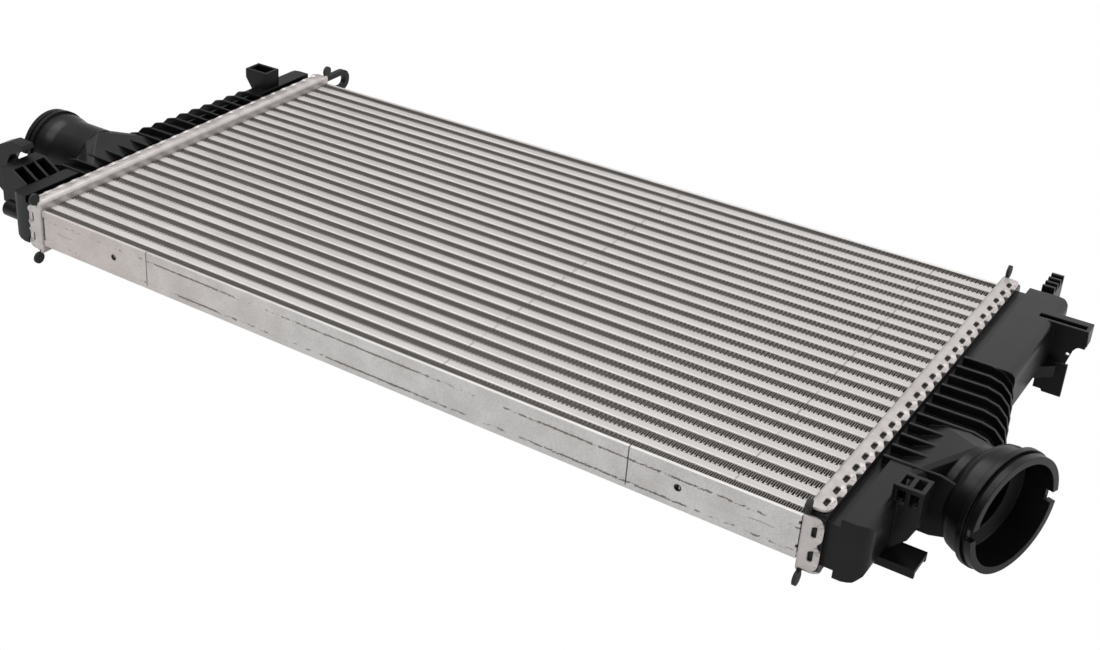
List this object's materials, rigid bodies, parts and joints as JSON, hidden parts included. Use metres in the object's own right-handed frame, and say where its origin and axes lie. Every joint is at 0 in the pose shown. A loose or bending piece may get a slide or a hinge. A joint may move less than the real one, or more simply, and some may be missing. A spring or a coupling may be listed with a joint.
{
  "type": "intercooler",
  "caption": "Flat-tube charge-air cooler with aluminium core, crimped headers and black ribbed plastic end tanks, each with a round hose port and mounting brackets.",
  "frame": {"origin": "middle of the bounding box seen from above, at the height of the lowest point", "axes": "+X along the tubes, towards the tank with the larger port; +Z out of the core's front face, the thin way"},
  "size_m": [0.9304, 0.4522, 0.088],
  "materials": {
    "tube_aluminium": "satin, brazed, faintly spotted",
    "fin_aluminium": "dull, dark in the gaps between louvres",
    "plate_aluminium": "satin rolled sheet with brazing streaks",
    "header_aluminium": "matt brazed sheet with dark flecks along the crimp",
    "turbulator_aluminium": "dull",
    "gasket_rubber": "matt black",
    "tank_plastic": "black glass-filled nylon, softly glossy"
  },
  "bodies": {
    "root": {"fin_row_01": "fin_aluminium", "fin_row_02": "fin_aluminium", "fin_row_03": "fin_aluminium", "fin_row_04": "fin_aluminium", "fin_row_05": "fin_aluminium", "fin_row_06": "fin_aluminium", "fin_row_07": "fin_aluminium", "fin_row_08": "fin_aluminium", "fin_row_09": "fin_aluminium", "fin_row_10": "fin_aluminium", "fin_row_11": "fin_aluminium", "fin_row_12": "fin_aluminium", "fin_row_13": "fin_aluminium", "fin_row_14": "fin_aluminium", "fin_row_15": "fin_aluminium", "fin_row_16": "fin_aluminium", "fin_row_17": "fin_aluminium", "fin_row_18": "fin_aluminium", "fin_row_19": "fin_aluminium", "fin_row_20": "fin_aluminium", "fin_row_21": "fin_aluminium", "fin_row_22": "fin_aluminium", "fin_row_23": "fin_aluminium", "fin_row_24": "fin_aluminium", "gasket_left": "gasket_rubber", "gasket_right": "gasket_rubber", "header_left": "header_aluminium", "header_right": "header_aluminium", "side_plate_far": "plate_aluminium", "side_plate_near": "plate_aluminium", "tank_left": "tank_plastic", "tank_right": "tank_plastic", "tube_01": "tube_aluminium", "tube_02": "tube_aluminium", "tube_03": "tube_aluminium", "tube_04": "tube_aluminium", "tube_05": "tube_aluminium", "tube_06": "tube_aluminium", "tube_07": "tube_aluminium", "tube_08": "tube_aluminium", "tube_09": "tube_aluminium", "tube_10": "tube_aluminium", "tube_11": "tube_aluminium", "tube_12": "tube_aluminium", "tube_13": "tube_aluminium", "tube_14": "tube_aluminium", "tube_15": "tube_aluminium", "tube_16": "tube_aluminium", "tube_17": "tube_aluminium", "tube_18": "tube_aluminium", "tube_19": "tube_aluminium", "tube_20": "tube_aluminium", "tube_21": "tube_aluminium", "tube_22": "tube_aluminium", "tube_23": "tube_aluminium", "turbulators": "turbulator_aluminium"}
  },
  "joints": []
}
